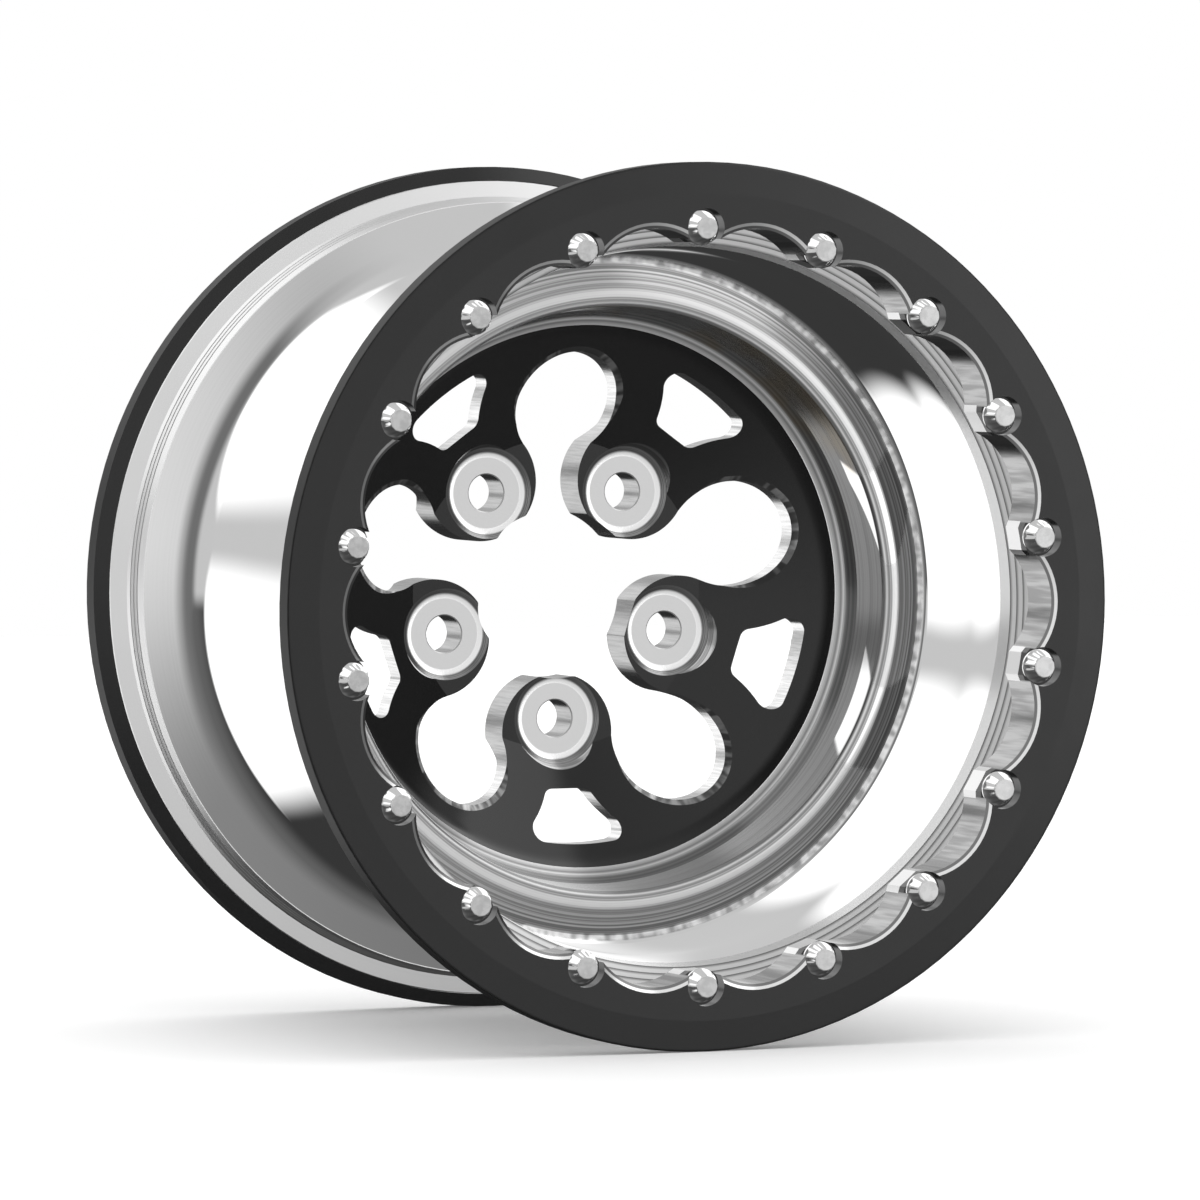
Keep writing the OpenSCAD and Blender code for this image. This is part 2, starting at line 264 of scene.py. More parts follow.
def open_middle():
    """Outline of the open middle of the centre: arm tips, arm heads and round windows."""
    corner = meet((0, 0), BORE_R + TIP_R, HEAD, HEAD_R - TIP_R)
    corner = (corner[0], abs(corner[1]))
    tip = aim((0, 0), corner)
    to_head = aim(corner, HEAD) + 180
    neck = aim(HEAD, WINDOW)
    half = arc((0, 0), BORE_R, 0, tip, 8)[:-1]
    half += arc(corner, TIP_R, tip + 180, to_head, 8)[:-1]
    half += arc(HEAD, HEAD_R, to_head, neck, 26)[:-1]
    half += arc(WINDOW, WINDOW_R, neck - 180, ARM_TURN / 2, 56)
    loop = []
    for k in range(ARMS):
        for part in (mirrored(half), half[1:]):
            loop += turned_by(part, ARM_TURN * k + FIRST_ARM)
        loop.pop()
    return loop


def small_window():
    """Outline of a small window on an arm."""
    waist = WINDOW_R + WINDOW_WEB
    r_in, r_out, near, far = 5.0, 6.0, 93.4, 119.2
    x = near + r_in
    c_in = (x, WINDOW[1] - math.sqrt((waist + r_in) ** 2 - (x - WINDOW[0]) ** 2))
    c_out = meet(WINDOW, waist + r_out, (0, 0), far - r_out)
    half = arc(c_in, r_in, 180, aim(c_in, WINDOW), 8)
    half += arc(WINDOW, waist, aim(WINDOW, c_in), aim(WINDOW, c_out), 10)
    half += arc(c_out, r_out, aim(c_out, WINDOW), aim((0, 0), c_out), 12)
    half += arc((0, 0), far, aim((0, 0), c_out), 0, 6)
    return half + mirrored(half[:-1])


def put(bm, x, y, z):
    """Vertex at a place across the axis and along it, in millimetres."""
    return bm.verts.new((x * MM, -z * MM, y * MM))


def prism(bm, loop, z0, z1):
    """Straight cutter along the axis between two places."""
    tube(bm, [[put(bm, x, y, z) for x, y in loop] for z in (z0, z1)])


def plug(bm, at, profile, steps=96):
    """Turned cutter about a line along the axis through a point."""
    loops = []
    for r, z in profile:
        loops.append([put(bm, x, y, z) for x, y in arc(at, r, 0, 360 - 360 / steps, steps - 1)])
    tube(bm, loops)


def chamfer(bm, turn, steps=72):
    """Cutter for the chamfer round a window that follows the dish and fades at the arms."""
    over, least = 0.6, 0.01
    slope = CHAMFER_W / CHAMFER_H
    rings = []
    for i in range(steps + 1):
        a = CHAMFER_REACH * (2 * i / steps - 1)
        w = CHAMFER_W * min(1.0, (CHAMFER_REACH - abs(a)) / CHAMFER_FADE) + least
        places = []
        for r in (WINDOW_R - over, WINDOW_R + w + over, WINDOW_R + w):
            places.append((WINDOW_AT + r * math.cos(math.radians(a)), r * math.sin(math.radians(a))))
        z = front_z(math.hypot(*places[2]))
        inner, outer = turned_by(places[:2], turn)
        rings.append([put(bm, *inner, z - (w + over) / slope), put(bm, *outer, z + over / slope),
                      put(bm, *inner, z + over / slope)])
    tube(bm, rings)


def front_z(r):
    """Front of the dish at a radius, before its curved edge."""
    return PAD_T + (r - DISH_START) * DISH_SLOPE


def back_z(r):
    """Back of the dish at a radius."""
    return front_z(r) - DISH_T


def solid(name, fill):
    """Object whose mesh is made by a function that fills a bmesh."""
    bm = bmesh.new()
    fill(bm)
    bmesh.ops.recalc_face_normals(bm, faces=bm.faces)
    return made(name, bm)


def wheel_centre():
    """Five-arm centre, turned and then cut: open middle, windows, lug recesses, chamfers."""
    bore, mount_r, back_angle = 30.0, 76.0, 60.0
    edge_w, edge_share, edge_angle, edge_r = 8.8, 0.4, 232, 16
    floor_r, fillet_w, fillet_h, rim_r, top_r = 17, 2.8, 0.85, 22.1, 26.9
    before, past, clear = -1, 70, 14
    slope = math.tan(math.radians(back_angle))
    back_x = back_z(mount_r) / (slope - DISH_SLOPE)
    back = [(mount_r, 0)] + bend((mount_r + back_x, back_x * slope), back_angle, DISH_ANGLE, 10, 8)
    curve_r = EDGE_LAND - edge_w * edge_share
    edge = bend((curve_r, front_z(curve_r)), edge_angle, 180 + DISH_ANGLE, edge_r, 10)
    body = lathe("centre", [(bore, 0)] + back + [
        (CENTRE_R, DISH_REAR), (CENTRE_R, EDGE_Z), (EDGE_LAND, EDGE_Z)] + edge
        + [(DISH_START, PAD_T), (bore, PAD_T)])
    fillet = [(floor_r + fillet_w * math.sin(math.radians(a)),
               SEAT_Z + fillet_h * (1 - math.cos(math.radians(a)))) for a in range(0, 91, 10)]
    recess = ([(LUG_HOLE_R, before), (LUG_HOLE_R, SEAT_Z - 0.5), (LUG_HOLE_R + 0.5, SEAT_Z),
               (floor_r - 0.4, SEAT_Z)] + fillet + [(rim_r, PAD_T), (top_r, PAD_T + clear)])

    def openings(bm):
        prism(bm, open_middle(), before, past)
        for k in range(ARMS):
            prism(bm, turned_by(small_window(), ARM_TURN * k + FIRST_ARM), before, past)

    def recesses(bm):
        for k in range(ARMS):
            plug(bm, turned_by([(LUG_AT, 0)], ARM_TURN * k + FIRST_ARM)[0], recess)

    def chamfers(bm):
        for k in range(ARMS):
            chamfer(bm, ARM_TURN * k + FIRST_WINDOW)

    cutters = [solid("cutter", f) for f in (openings, recesses, chamfers)]
    for cutter in cutters:
        cut = body.modifiers.new("cut", "BOOLEAN")
        cut.object = cutter
        cut.operation = "DIFFERENCE"
        cut.solver = "EXACT"
    graph = bpy.context.evaluated_depsgraph_get()
    mesh = bpy.data.meshes.new_from_object(body.evaluated_get(graph))
    body.modifiers.clear()
    body.data = mesh
    for cutter in cutters:
        bpy.data.meshes.remove(cutter.data)
    bm = bmesh.new()
    bm.from_mesh(mesh)
    bmesh.ops.remove_doubles(bm, verts=bm.verts, dist=MM / 1000)
    bmesh.ops.dissolve_degenerate(bm, edges=bm.edges, dist=MM / 1000)
    for f in bm.faces:
        f.smooth = True
    mark_sharp(bm, 20)
    bm.to_mesh(mesh)
    bm.free()
    return body


class Nodes:
    """Short way to write a node tree."""

    def __init__(self, tree):
        self.tree = tree
        tree.nodes.clear()

    def add(self, kind, **values):
        node = self.tree.nodes.new(kind)
        for key, value in values.items():
            setattr(node, key, value)
        return node

    def join(self, a, b):
        self.tree.links.new(a, b)

    def math(self, op, *args):
        node = self.add("ShaderNodeMath", operation=op)
        for socket, arg in zip(node.inputs, args):
            if isinstance(arg, (int, float)):
                socket.default_value = arg
            else:
                self.join(arg, socket)
        return node.outputs[0]

    def length(self, a, b):
        """Length of the vector with these two parts."""
        squares = [self.math("MULTIPLY", part, part) for part in (a, b)]
        return self.math("SQRT", self.math("ADD", *squares))

    def ramp(self, value, x0, x1, y0=0.0, y1=1.0, smooth=True):
        """The value carried from one range to another, and held at the ends."""
        node = self.add("ShaderNodeMapRange",
                        interpolation_type="SMOOTHSTEP" if smooth else "LINEAR")
        self.join(value, node.inputs["Value"])
        for key, number in (("From Min", x0), ("From Max", x1), ("To Min", y0), ("To Max", y1)):
            if isinstance(number, (int, float)):
                node.inputs[key].default_value = number
            else:
                self.join(number, node.inputs[key])
        return node.outputs["Result"]

    def mix(self, factor, a, b):
        """Colour or number between a and b."""
        node = self.add("ShaderNodeMix", data_type="RGBA")
        for key, arg in ((0, factor), (6, a), (7, b)):
            socket = node.inputs[key]
            if isinstance(arg, (int, float)):
                socket.default_value = arg if key == 0 else (arg, arg, arg, 1)
            elif isinstance(arg, tuple):
                socket.default_value = (*arg, 1)
            else:
                self.join(arg, socket)
        return node.outputs[2]

    def grey(self, tone):
        """Number as a colour."""
        return self.mix(0.5, tone, tone)

    def noise(self, vector, scale, detail=2.0):
        node = self.add("ShaderNodeTexNoise")
        self.join(vector, node.inputs["Vector"])
        node.inputs["Scale"].default_value = scale
        node.inputs["Detail"].default_value = detail
        node.inputs["Roughness"].default_value = 0.5
        return node.outputs["Fac"]

    def pair(self, a, b):
        """Vector of two numbers."""
        node = self.add("ShaderNodeCombineXYZ")
        self.join(a, node.inputs[0])
        self.join(b, node.inputs[1])
        return node.outputs[0]

    def stretched(self, vector, scale):
        node = self.add("ShaderNodeMapping")
        self.join(vector, node.inputs["Vector"])
        node.inputs["Scale"].default_value = scale
        return node.outputs["Vector"]

    def bump(self, height, strength):
        node = self.add("ShaderNodeBump")
        node.inputs["Strength"].default_value = strength
        node.inputs["Distance"].default_value = MM
        self.join(height, node.inputs["Height"])
        return node.outputs["Normal"]

    def principled(self, **values):
        node = self.add("ShaderNodeBsdfPrincipled")
        for key, value in values.items():
            socket = node.inputs[key.replace("_", " ")]
            if isinstance(value, (int, float)):
                socket.default_value = value
            else:
                self.join(value, socket)
        return node

    def shader_mix(self, factor, a, b):
        node = self.add("ShaderNodeMixShader")
        self.join(factor, node.inputs[0])
        self.join(a.outputs[0], node.inputs[1])
        self.join(b.outputs[0], node.inputs[2])
        return node


def new_material(name):
    """Material with an empty node tree, and the place on the object in metres."""
    material = bpy.data.materials.new(name)
    material.use_nodes = True
    n = Nodes(material.node_tree)
    where = n.add("ShaderNodeTexCoord").outputs["Object"]
    return material, n, where


def finish_material(material, n, shader):
    """The material, with this shader as its surface."""
    out = n.add("ShaderNodeOutputMaterial")
    n.join(shader.outputs[0], out.inputs["Surface"])
    return material


def cylinder_coordinates(n, where):
    """Radius and angle round the wheel's axis, and the place along it."""
    parts = n.add("ShaderNodeSeparateXYZ")
    n.join(where, parts.inputs[0])
    x, y, z = parts.outputs
    return n.length(x, z), n.math("ARCTAN2", z, x), y


def turned_lines(n, where):
    """Height of the fine lines that turning leaves round the axis."""
    radius, _, y = cylinder_coordinates(n, where)
    return n.noise(n.pair(radius, y), 900.0, detail=3.0)


def polished_metal(name, tone, roughness, lines):
    """Polished metal with faint turned lines and a soft change of tone."""
    material, n, where = new_material(name)
    height = turned_lines(n, where)
    cloud = n.noise(where, 22.0, detail=2.0)
    shader = n.principled(
        Base_Color=n.mix(cloud, tone * 0.97, tone), Metallic=1.0,
        Roughness=n.ramp(cloud, 0.3, 0.7, roughness * 0.8, roughness * 1.25),
        Normal=n.bump(height, lines))
    return finish_material(material, n, shader)


def barrel_metal(name):
    """Mirror polished barrel. Its foot, its nose, the sleeve and the lip are cut by a tool
    and stay duller. The sleeve is darkest, a painted reflection of the black centre, with
    two painted highlights where the centre's windows would show in it."""
    material, n, where = new_material(name)
    radius, angle, y = cylinder_coordinates(n, where)
    height = turned_lines(n, where)
    rings = n.noise(n.pair(radius, y), 520.0, detail=2.0)
    turn = n.math("MULTIPLY", angle, 180 / math.pi)
    edge_front, sleeve_front, mouth = -60.3 * MM, -65.5 * MM, -168.3 * MM
    foot_edge, sleeve_edge = (161 * MM, 163.5 * MM), (138.6 * MM, 139.4 * MM)
    dashes_from, dashes_to, dashes_r = (158.5 * MM, 160.5 * MM), (162.0 * MM, 163.4 * MM), 0.161
    sleeve_span = (-97.3 * MM, -82.5 * MM)
    # Two painted highlights, reflections of the centre's windows: middle at the foot and top of the
    # sleeve, then half width there
    painted_highlight_places = ((-26, -20, 8, 10), (15, 26, 9, 2))
    ahead = n.math("LESS_THAN", y, edge_front)
    foot = n.math("MULTIPLY", ahead, n.ramp(radius, *foot_edge, 1.0, 0.0))
    sleeve = n.math("MULTIPLY", ahead, n.ramp(radius, *sleeve_edge, 1.0, 0.0))
    sleeve = n.math("MULTIPLY", sleeve, n.ramp(y, sleeve_front, sleeve_front + 2 * MM, 1.0, 0.0))
    depth = n.ramp(y, *sleeve_span, smooth=False)
    painted_highlight_masks = []
    for foot_at, top_at, foot_half, top_half in painted_highlight_places:
        middle = n.ramp(depth, 0, 1, foot_at, top_at, smooth=False)
        half = n.ramp(depth, 0, 1, foot_half, top_half, smooth=False)
        off = n.math("SUBTRACT", n.math("ABSOLUTE", n.math("SUBTRACT", turn, middle)), half)
        painted_highlight_masks.append(n.ramp(off, -1.0, 1.0, 1.0, 0.0))
    painted_highlight = n.math("MULTIPLY", n.math("MAXIMUM", *painted_highlight_masks), n.ramp(depth, 0.9, 1.0, 1.0, 0.0))
    lip = n.ramp(y, mouth, mouth + 1.3 * MM, 1.0, 0.0)
    tone = n.ramp(foot, 0, 1, 0.92, n.ramp(rings, 0.35, 0.65, 0.3, 0.85))
    # Painted reflection: the sleeve is darkened as if it showed the black centre, and lit where its
    # windows would show
    tone = n.ramp(sleeve, 0, 1, tone, n.ramp(rings, 0.35, 0.65, 0.13, 0.2))
    tone = n.ramp(n.math("MULTIPLY", sleeve, painted_highlight), 0, 1, tone, 0.85)
    marks = n.pair(n.math("MULTIPLY", angle, dashes_r), n.math("MULTIPLY", radius, 0.8))
    dashes = n.ramp(n.noise(marks, 170.0, detail=1.0), 0.35, 0.65, 0.4, 0.95)
    edge = n.math("MULTIPLY", ahead, n.math("MULTIPLY", n.ramp(radius, *dashes_from),
                                            n.ramp(radius, *dashes_to, 1.0, 0.0)))
    tone = n.ramp(edge, 0, 1, tone, dashes)
    step = n.math("FRACT", n.math("DIVIDE", n.math("SUBTRACT", radius, LIP_R * MM),
                                  LIP_STEP_W * MM))
    tone = n.ramp(lip, 0, 1, tone, n.ramp(step, 0.0, 0.55, 0.16, 0.7))
    cloud = n.ramp(n.noise(where, 26.0, detail=2.0), 0.42, 0.6)
    warm = n.math("MULTIPLY", n.math("MULTIPLY", sleeve, cloud),
                  n.math("MULTIPLY", n.ramp(turn, 5, 35), n.ramp(turn, 80, 110, 1.0, 0.0)))
    tinted = n.add("ShaderNodeMix", data_type="RGBA", blend_type="MULTIPLY")
    tinted.inputs[0].default_value = 1.0
    n.join(n.grey(tone), tinted.inputs[6])
    n.join(n.mix(warm, (1.0, 1.0, 1.0), (1.0, 0.86, 0.66)), tinted.inputs[7])
    dull = n.math("MAXIMUM", lip, n.math("MULTIPLY", foot, n.math("SUBTRACT", 1.0, painted_highlight)))
    shader = n.principled(
        Base_Color=tinted.outputs[2], Metallic=n.ramp(dull, 0, 1, 1.0, 0.55),
        Roughness=n.ramp(dull, 0, 1, 0.04, 0.16), Normal=n.bump(height, 0.01))
    return finish_material(material, n, shader)


def nearest(n, radius, angle, count, first, at):
    """Distance across the axis to the nearest of count places on a circle, and the turn
    about that place, away from the line that runs outwards through it."""
    step = 2 * math.pi / count
    turns = n.math("MULTIPLY_ADD", angle, 1 / step, 0.5 - math.radians(first) / step)
    t = n.math("MULTIPLY", n.math("SUBTRACT", n.math("FRACT", turns), 0.5), step)
    dx = n.math("SUBTRACT", n.math("MULTIPLY", radius, n.math("COSINE", t)), at)
    dz = n.math("MULTIPLY", radius, n.math("SINE", t))
    return n.length(dx, dz), n.math("ARCTAN2", n.math("ABSOLUTE", dz), dx)


def across(n):
    """How far the surface faces along the wheel's axis, without its sign."""
    facing = n.add("ShaderNodeSeparateXYZ")
    n.join(n.add("ShaderNodeNewGeometry").outputs["True Normal"], facing.inputs[0])
    return n.math("ABSOLUTE", facing.outputs[1])


def flat_normal(n, normal):
    """The given shading normal, made exact on the flats that face along the axis."""
    true = n.add("ShaderNodeNewGeometry").outputs["True Normal"]
    return n.mix(n.math("GREATER_THAN", across(n), 0.995), normal, true)


def dish_normal(n, radius, angle, y, depth):
    """Shading normal that is exact on the flat of the arms and on the cone of the dish."""
    normal = n.add("ShaderNodeNewGeometry").outputs["Normal"]
    inwards, forwards = math.sin(math.radians(DISH_ANGLE)), math.cos(math.radians(DISH_ANGLE))
    cone = n.add("ShaderNodeCombineXYZ")
    n.join(n.math("MULTIPLY", n.math("COSINE", angle), -inwards), cone.inputs[0])
    cone.inputs[1].default_value = -forwards
    n.join(n.math("MULTIPLY", n.math("SINE", angle), -inwards), cone.inputs[2])
    on_dish = n.math("GREATER_THAN", radius, DISH_START * MM)
    front = n.math("MULTIPLY", n.math("LESS_THAN", depth, 0.5 * MM),
                   n.math("LESS_THAN", radius, DISH_END * MM))
    normal = n.mix(n.math("MULTIPLY", on_dish, front), normal, cone.outputs[0])
    on_pad = n.math("MULTIPLY", n.math("SUBTRACT", 1.0, on_dish),
                    n.math("LESS_THAN", y, (0.3 - PAD_T) * MM))
    return n.mix(on_pad, normal, (0.0, -1.0, 0.0))


def black_centre():
    """Gloss black face; windows, bore and lug recesses cut bright after it."""
    material, n, where = new_material("black_centre")
    radius, angle, y = cylinder_coordinates(n, where)
    # Round a lug hole: edges of the recess floor and its fillet, then radii
    floor_edge, fillet_edge = (16.9 * MM, 17.2 * MM), (19.75 * MM, 19.95 * MM)
    floor_r, recess_r, recess_wall_r = 17.1 * MM, 22.0 * MM, 25.5 * MM
    # Places along the axis, behind the recess floor and in front of the fillet
    behind_floor, before_fillet = -18.0 * MM, -22.0 * MM
    band_depth = 3.6 * MM
    wall = n.math("LESS_THAN", across(n), WALL_FACING)
    lug, _ = nearest(n, radius, angle, ARMS, FIRST_ARM, LUG_AT * MM)
    recess = n.math("MULTIPLY", n.math("LESS_THAN", lug, recess_r),
                    n.math("LESS_THAN", y, behind_floor))
    cut = n.math("MAXIMUM", wall, recess)
    streak = n.noise(n.stretched(where, (900, 40, 900)), 1.0, detail=3.0)
    front = n.math("MULTIPLY_ADD", n.math("SUBTRACT", radius, DISH_START * MM),
                   -DISH_SLOPE, -PAD_T * MM)
    depth = n.math("SUBTRACT", y, front)
    window, turn = nearest(n, radius, angle, ARMS, FIRST_WINDOW, WINDOW_AT * MM)
    left = n.math("SUBTRACT", math.radians(CHAMFER_REACH), turn)
    width = n.math("MINIMUM", 1.0, n.math("DIVIDE", left, math.radians(CHAMFER_FADE)))
    reach = n.math("MULTIPLY_ADD", width, CHAMFER_W * MM, WINDOW_R * MM)
    band = n.math("MULTIPLY", n.math("LESS_THAN", depth, band_depth),
                  n.math("MULTIPLY", n.math("LESS_THAN", window, reach),
                         n.math("GREATER_THAN", across(n), WALL_FACING)))
    cut = n.math("MAXIMUM", cut, band)
    # Window chamfers: mottled dark and bright, partly tool chatter and partly a painted reflection
    # of the bolts and scallops
    marks = n.pair(n.math("MULTIPLY_ADD", turn, WINDOW_R * MM, n.math("MULTIPLY", angle, 0.02)),
                   n.math("MULTIPLY", window, 0.3))
    chatter_and_reflection = n.noise(marks, 300.0, detail=1.0)
    tooled_and_reflected = n.ramp(chatter_and_reflection, 0.36, 0.64, 0.14, 0.52)
    above = n.math("MULTIPLY", n.math("LESS_THAN", lug, recess_wall_r),
                   n.math("LESS_THAN", y, before_fillet))
    side = n.math("MULTIPLY", wall, n.math("SUBTRACT", 1.0, above))
    plain = n.math("MULTIPLY", n.ramp(radius, 72 * MM, 98 * MM, 0.4, 0.76),
                   n.ramp(streak, 0.3, 0.7, 0.85, 1.1))
    wall_tone = n.mix(band, plain, tooled_and_reflected)
    lines = n.noise(n.pair(lug, y), 1700.0, detail=2.0)
    floor_tone = n.ramp(lug, *floor_edge, 0.74, 0.95)
    floor_tone = n.ramp(lug, *fillet_edge, floor_tone, n.ramp(lines, 0.35, 0.6, 0.16, 0.5))
    grain = n.noise(where, 2600.0, detail=1.0)
    bright = n.principled(
        Base_Color=n.mix(n.math("MAXIMUM", side, band), floor_tone, wall_tone), Metallic=1.0,
        Roughness=n.mix(wall, n.ramp(n.math("LESS_THAN", lug, floor_r), 0, 1, 0.2, 0.42), 0.22),
        Normal=n.bump(n.math("ADD", streak, n.math("MULTIPLY", grain, 0.3)), 0.04))
    cloud = n.noise(where, 30.0)
    black = n.principled(
        Base_Color=n.mix(cloud, 0.005, 0.008), Roughness=n.ramp(cloud, 0.3, 0.7, 0.07, 0.11),
        IOR=1.5, Normal=dish_normal(n, radius, angle, y, depth))
    return finish_material(material, n, n.shader_mix(cut, black, bright))


def bolt_metal(name):
    """Bright flanged bolt; the end of its head is finer turned and a little darker."""
    material, n, where = new_material(name)
    cloud = n.noise(where, 300.0, detail=2.0)
    end = n.math("GREATER_THAN", across(n), 0.97)
    tone = n.ramp(end, 0, 1, 0.9, n.ramp(cloud, 0.3, 0.7, 0.5, 0.6))
    shader = n.principled(Base_Color=n.grey(tone), Metallic=1.0,
                          Roughness=n.ramp(cloud, 0.3, 0.7, 0.08, 0.12))
    return finish_material(material, n, shader)


def ring_metal(name, face):
    """Clamp ring (black face) or fixed ring (bright all over) with its cut scallops."""
    material, n, where = new_material(name)
    radius, angle, _ = cylinder_coordinates(n, where)
    inside_r, rim_r, spot_r, spot_bevel_r = 184.0 * MM, 200 * MM, 9.5 * MM, 9.25 * MM
    facing = across(n)
    bolt, _ = nearest(n, radius, angle, BOLTS, FIRST_BOLT, BOLT_AT * MM)
    streak = n.noise(n.stretched(where, (320, 20, 320)), 1.0, detail=2.0)
    inside = n.math("LESS_THAN", radius, inside_r)
    wall = n.math("MULTIPLY", n.math("LESS_THAN", facing, WALL_FACING), inside)
    wall = n.math("MULTIPLY", wall, n.math("GREATER_THAN", bolt, spot_r))
    wall_tone = n.ramp(streak, 0.35, 0.65, 0.25, 0.42)
    wall_metal = n.principled(Base_Color=n.grey(wall_tone), Metallic=1.0, Roughness=0.2,
                              Normal=n.bump(streak, 0.02))
    cloud = n.noise(where, 30.0)
    if face:
        bevel = n.math("MULTIPLY", n.math("LESS_THAN", facing, 0.97), inside)
        scallop, _ = nearest(n, radius, angle, BOLTS, 0, SCALLOP_AT * MM)
        line = n.ramp(scallop, (SCALLOP_R + 1.1) * MM, (SCALLOP_R + 1.4) * MM, 0.22, 0.9)
        bevel_metal = n.principled(Base_Color=n.grey(line), Metallic=1.0, Roughness=0.15)
        black = n.principled(
            Base_Color=n.mix(cloud, 0.006, 0.009), Roughness=n.ramp(cloud, 0.3, 0.7, 0.2, 0.26),
            IOR=1.5,
            Normal=flat_normal(n, n.add("ShaderNodeNewGeometry").outputs["Normal"]))
        rim = n.math("MULTIPLY", n.math("LESS_THAN", facing, 0.8),
                     n.math("GREATER_THAN", radius, rim_r))
        dull_black = n.principled(Base_Color=n.mix(cloud, 0.012, 0.016), Roughness=0.4, IOR=1.22)
        rest = n.shader_mix(n.math("MULTIPLY", bevel, n.math("GREATER_THAN", bolt, spot_bevel_r)),
                            n.shader_mix(rim, black, dull_black), bevel_metal)
    else:
        height = turned_lines(n, where)
        rest = n.principled(Base_Color=n.mix(cloud, 0.8, 0.85), Metallic=1.0, Roughness=0.36,
                            Normal=n.bump(height, 0.03))
    return finish_material(material, n, n.shader_mix(wall, rest, wall_metal))


def barrel_lean(z, mouth_z):
    """Slope of the outer barrel's inside, least where the two rolling passes meet."""
    at_foot, least, at_mouth = 5.0, -1.5, 7.0
    if z < ROLL_Z:
        return at_foot + (least - at_foot) * (z - FOOT_Z) / (ROLL_Z - FOOT_Z)
    return least + (at_mouth - least) * (z - ROLL_Z) / (mouth_z - ROLL_Z)


def outer_barrel_outline():
    """Outer barrel, with the place along the axis measured from the outer ring's face."""
    fillet_r, bevel_out, bevel_up, steps = 4, 3.9, 10.35, 24
    foot_r = MOUTH_R + SHELL_T
    rise = (STEP_R - foot_r) / math.tan(math.radians(FLANK_ANGLE))
    head = [(LIP_R + LIP_STEP_W * i, FLANGE_U + LIP_STEP_H * (2 - i)) for i in range(3)]
    head += [(FLANGE_R, FLANGE_U), (FLANGE_R, SKIRT_U), (STEP_R, SKIRT_U)]
    head += bend((foot_r, SKIRT_U + rise), 90 + FLANK_ANGLE, 91, FLANK_R)
    foot = [(FOOT_R + SHELL_T, FOOT_Z + 1.2), (WELL_R, SPLIT_Z), (WELL_R - SHELL_T, SPLIT_Z),
            (CENTRE_R + 9, NOSE_Z - SHELL_T), (CENTRE_R + 9, DISH_REAR),
            (CENTRE_R, DISH_REAR), (CENTRE_R, EDGE_Z), (EDGE_LAND, EDGE_Z),
            (EDGE_LAND, EDGE_Z + 0.7), (CENTRE_R + 0.8, EDGE_Z + 3.65),
            (CENTRE_R + bevel_out, EDGE_Z + bevel_up)]
    fillet = [tuple(Vector((FOOT_R - fillet_r, FOOT_Z)) + fillet_r * heading(-90 + 9 * i))
              for i in range(11)]
    rise = aim(foot[-1], (NOSE_IN_R, NOSE_Z))
    fall = aim((NOSE_OUT_R, NOSE_Z), fillet[0])
    foot += bend((NOSE_IN_R, NOSE_Z), rise, 0, 3) + bend((NOSE_OUT_R, NOSE_Z), 0, fall, 12)
    foot += fillet
    wall, at, r = [], FOOT_Z, FOOT_R
    mouth_z = OUTER_FACE - FLANGE_U - MOUTH_DEPTH
    for i in range(1, steps + 1):
        z = FOOT_Z + (mouth_z - FOOT_Z) * i / steps
        r += (z - at) * math.tan(math.radians(barrel_lean((z + at) / 2, mouth_z)))
        wall.append((r, z))
        at = z
    gain = (MOUTH_R - FOOT_R) / (r - FOOT_R)
    wall = [(FOOT_R + (r - FOOT_R) * gain, z) for r, z in wall]
    return [(r, OUTER_FACE - u) for r, u in head] + foot + wall


def inner_barrel_outline():
    """Inner barrel, from its flange to the joint between the halves."""
    cone_end = -23.8
    cone_r = WELL_R + math.tan(math.radians(CONE_ANGLE)) * (KINK_Z - cone_end)
    foot = (cone_r, SKIRT_U + (STEP_R - cone_r) / math.tan(math.radians(FLANK_ANGLE)))
    inside = moved_in(foot, 90 + FLANK_ANGLE, 90 + CONE_ANGLE, SHELL_T)
    mouth_u = inside[1] + (LIP_R - inside[0]) * math.tan(math.radians(FLANK_ANGLE - 90))
    split_u = SPLIT_Z - INNER_FACE
    kink_u = KINK_Z - INNER_FACE
    outline = [(LIP_R, FLANGE_U), (FLANGE_R, FLANGE_U), (FLANGE_R, SKIRT_U), (STEP_R, SKIRT_U)]
    outline += bend(foot, 90 + FLANK_ANGLE, 90 + CONE_ANGLE, FLANK_R)
    outline += [(WELL_R, kink_u), (WELL_R, split_u), (WELL_R - SHELL_T, split_u),
                (WELL_R - SHELL_T, kink_u)]
    outline += bend(inside, -90 + CONE_ANGLE, -90 + FLANK_ANGLE, FLANK_R + SHELL_T)
    outline += [(LIP_R, mouth_u)]
    return [(r, u + INNER_FACE) for r, u in outline]


